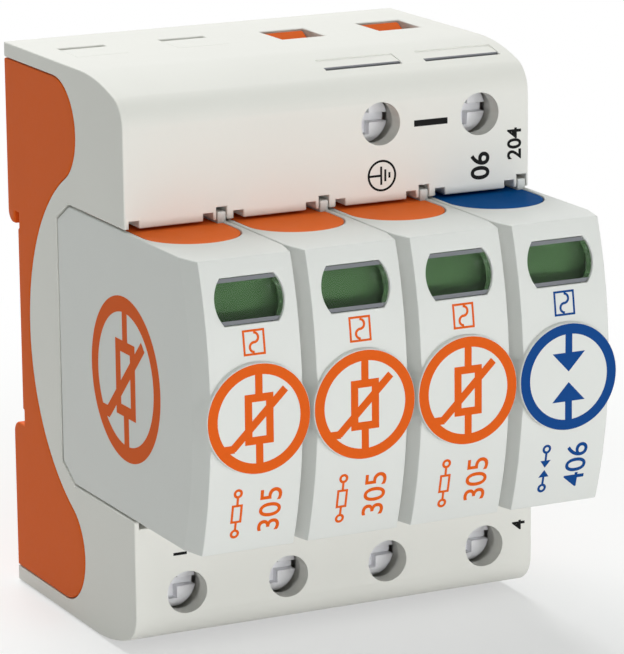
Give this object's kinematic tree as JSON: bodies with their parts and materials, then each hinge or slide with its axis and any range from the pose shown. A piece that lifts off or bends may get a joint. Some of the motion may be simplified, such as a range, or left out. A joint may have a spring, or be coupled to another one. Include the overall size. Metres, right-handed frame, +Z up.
{
  "type": "din rail surge arrester",
  "caption": "Rail-mounted surge arrester: a C-shaped two-part base with screw terminals holds a row of pull-out cartridges with status windows and round grips.",
  "frame": {"origin": "middle of the rail seat, where the rail's front plane meets the base", "axes": "+Y points back into the rail, the front faces -Y, +X is to the right seen from the front, +Z is up"},
  "size_m": [0.07, 0.0753, 0.09],
  "materials": {
    "grey_plastic": "fine satin moulded plastic, light grey",
    "orange_plastic": "fine satin moulded plastic, orange",
    "shell_plastic": "fine satin moulded plastic, very light grey",
    "plate_plastic": "moulded plastic, dark grey",
    "latch_plastic": "moulded plastic, charcoal",
    "orange_tab": "satin moulded plastic, orange",
    "blue_tab": "satin moulded plastic, deep blue",
    "window_clear": "clear moulded pane",
    "green_flag": "moulded plastic, dark green",
    "red_panel": "moulded plastic, red",
    "varistor_coating": "dipped epoxy coating",
    "spark_gap_case": "moulded case, black",
    "contact_metal": "stamped and bent strip",
    "blade_metal": "tin-plated stamped strip",
    "clamp_steel": "zinc-plated steel",
    "screw_steel": "zinc-plated steel, bright",
    "spring_steel": "drawn spring wire"
  },
  "bodies": {
    "base": {"rear_housing": "orange_plastic", "front_housing": "grey_plastic", "neutral_bar": "contact_metal", "earth_bar": "contact_metal", "line_contact_1": "contact_metal", "line_contact_2": "contact_metal", "line_contact_3": "contact_metal"},
    "rail_latch": {"rail_latch": "latch_plastic"},
    "clamp_cage_upper_3": {"clamp_cage_upper_3": "clamp_steel"},
    "terminal_screw_upper_3": {"terminal_screw_upper_3": "screw_steel"},
    "clamp_cage_upper_4": {"clamp_cage_upper_4": "clamp_steel"},
    "terminal_screw_upper_4": {"terminal_screw_upper_4": "screw_steel"},
    "clamp_cage_lower_1": {"clamp_cage_lower_1": "clamp_steel"},
    "terminal_screw_lower_1": {"terminal_screw_lower_1": "screw_steel"},
    "clamp_cage_lower_2": {"clamp_cage_lower_2": "clamp_steel"},
    "terminal_screw_lower_2": {"terminal_screw_lower_2": "screw_steel"},
    "clamp_cage_lower_3": {"clamp_cage_lower_3": "clamp_steel"},
    "terminal_screw_lower_3": {"terminal_screw_lower_3": "screw_steel"},
    "clamp_cage_lower_4": {"clamp_cage_lower_4": "clamp_steel"},
    "terminal_screw_lower_4": {"terminal_screw_lower_4": "screw_steel"},
    "cartridge_1": {"cartridge_shell_1": "shell_plastic", "cartridge_plate_1": "plate_plastic", "colour_tab_1": "orange_tab", "window_1": "window_clear", "alarm_panel_1": "red_panel", "arrester_block_1": "varistor_coating", "upper_blade_1": "blade_metal", "lower_blade_1": "blade_metal", "trip_spring_1": "spring_steel"},
    "trip_flag_1": {"trip_flag_1": "green_flag"},
    "cartridge_2": {"cartridge_shell_2": "shell_plastic", "cartridge_plate_2": "plate_plastic", "colour_tab_2": "orange_tab", "window_2": "window_clear", "alarm_panel_2": "red_panel", "arrester_block_2": "varistor_coating", "upper_blade_2": "blade_metal", "lower_blade_2": "blade_metal", "trip_spring_2": "spring_steel"},
    "trip_flag_2": {"trip_flag_2": "green_flag"},
    "cartridge_3": {"cartridge_shell_3": "shell_plastic", "cartridge_plate_3": "plate_plastic", "colour_tab_3": "orange_tab", "window_3": "window_clear", "alarm_panel_3": "red_panel", "arrester_block_3": "varistor_coating", "upper_blade_3": "blade_metal", "lower_blade_3": "blade_metal", "trip_spring_3": "spring_steel"},
    "trip_flag_3": {"trip_flag_3": "green_flag"},
    "cartridge_4": {"cartridge_shell_4": "shell_plastic", "cartridge_plate_4": "plate_plastic", "colour_tab_4": "blue_tab", "window_4": "window_clear", "alarm_panel_4": "red_panel", "arrester_block_4": "spark_gap_case", "upper_blade_4": "blade_metal", "lower_blade_4": "blade_metal", "trip_spring_4": "spring_steel"},
    "trip_flag_4": {"trip_flag_4": "green_flag"}
  },
  "joints": [
    {"name": "rail_latch_slide", "type": "slide", "parent": "base", "child": "rail_latch", "axis": [0, 0, -1], "range_m": [0, 0.0035], "stiffness_N_per_m": 2000, "springref_m": -0.001},
    {"name": "screw_turn_upper_3", "type": "hinge", "parent": "base", "child": "terminal_screw_upper_3", "pos_m": [0.00875, -0.03, 0.0352], "axis": [0, 1, 0], "range_deg": [0, 2521]},
    {"name": "cage_slide_upper_3", "type": "slide", "parent": "base", "child": "clamp_cage_upper_3", "axis": [0, -1, 0], "range_m": [0, 0.0056]},
    {"name": "screw_turn_upper_4", "type": "hinge", "parent": "base", "child": "terminal_screw_upper_4", "pos_m": [0.02625, -0.03, 0.0352], "axis": [0, 1, 0], "range_deg": [0, 2521]},
    {"name": "cage_slide_upper_4", "type": "slide", "parent": "base", "child": "clamp_cage_upper_4", "axis": [0, -1, 0], "range_m": [0, 0.0056]},
    {"name": "screw_turn_lower_1", "type": "hinge", "parent": "base", "child": "terminal_screw_lower_1", "pos_m": [-0.02625, -0.03, -0.0352], "axis": [0, 1, 0], "range_deg": [0, 2521]},
    {"name": "cage_slide_lower_1", "type": "slide", "parent": "base", "child": "clamp_cage_lower_1", "axis": [0, -1, 0], "range_m": [0, 0.0056]},
    {"name": "screw_turn_lower_2", "type": "hinge", "parent": "base", "child": "terminal_screw_lower_2", "pos_m": [-0.00875, -0.03, -0.0352], "axis": [0, 1, 0], "range_deg": [0, 2521]},
    {"name": "cage_slide_lower_2", "type": "slide", "parent": "base", "child": "clamp_cage_lower_2", "axis": [0, -1, 0], "range_m": [0, 0.0056]},
    {"name": "screw_turn_lower_3", "type": "hinge", "parent": "base", "child": "terminal_screw_lower_3", "pos_m": [0.00875, -0.03, -0.0352], "axis": [0, 1, 0], "range_deg": [0, 2521]},
    {"name": "cage_slide_lower_3", "type": "slide", "parent": "base", "child": "clamp_cage_lower_3", "axis": [0, -1, 0], "range_m": [0, 0.0056]},
    {"name": "screw_turn_lower_4", "type": "hinge", "parent": "base", "child": "terminal_screw_lower_4", "pos_m": [0.02625, -0.03, -0.0352], "axis": [0, 1, 0], "range_deg": [0, 2521]},
    {"name": "cage_slide_lower_4", "type": "slide", "parent": "base", "child": "clamp_cage_lower_4", "axis": [0, -1, 0], "range_m": [0, 0.0056]},
    {"name": "cartridge_pull_1", "type": "slide", "parent": "base", "child": "cartridge_1", "axis": [0, -1, 0], "range_m": [0, 0.04]},
    {"name": "flag_drop_1", "type": "slide", "parent": "cartridge_1", "child": "trip_flag_1", "axis": [0, 0, -1], "range_m": [0, 0.009], "deforming": ["trip_spring_1"]},
    {"name": "cartridge_pull_2", "type": "slide", "parent": "base", "child": "cartridge_2", "axis": [0, -1, 0], "range_m": [0, 0.04]},
    {"name": "flag_drop_2", "type": "slide", "parent": "cartridge_2", "child": "trip_flag_2", "axis": [0, 0, -1], "range_m": [0, 0.009], "deforming": ["trip_spring_2"]},
    {"name": "cartridge_pull_3", "type": "slide", "parent": "base", "child": "cartridge_3", "axis": [0, -1, 0], "range_m": [0, 0.04]},
    {"name": "flag_drop_3", "type": "slide", "parent": "cartridge_3", "child": "trip_flag_3", "axis": [0, 0, -1], "range_m": [0, 0.009], "deforming": ["trip_spring_3"]},
    {"name": "cartridge_pull_4", "type": "slide", "parent": "base", "child": "cartridge_4", "axis": [0, -1, 0], "range_m": [0, 0.04]},
    {"name": "flag_drop_4", "type": "slide", "parent": "cartridge_4", "child": "trip_flag_4", "axis": [0, 0, -1], "range_m": [0, 0.009], "deforming": ["trip_spring_4"]}
  ],
  "couplings": [
    {"joint": "screw_turn_upper_3", "follows": "cage_slide_upper_3", "rad_per_m": 7854},
    {"joint": "screw_turn_upper_4", "follows": "cage_slide_upper_4", "rad_per_m": 7854},
    {"joint": "screw_turn_lower_1", "follows": "cage_slide_lower_1", "rad_per_m": 7854},
    {"joint": "screw_turn_lower_2", "follows": "cage_slide_lower_2", "rad_per_m": 7854},
    {"joint": "screw_turn_lower_3", "follows": "cage_slide_lower_3", "rad_per_m": 7854},
    {"joint": "screw_turn_lower_4", "follows": "cage_slide_lower_4", "rad_per_m": 7854}
  ]
}
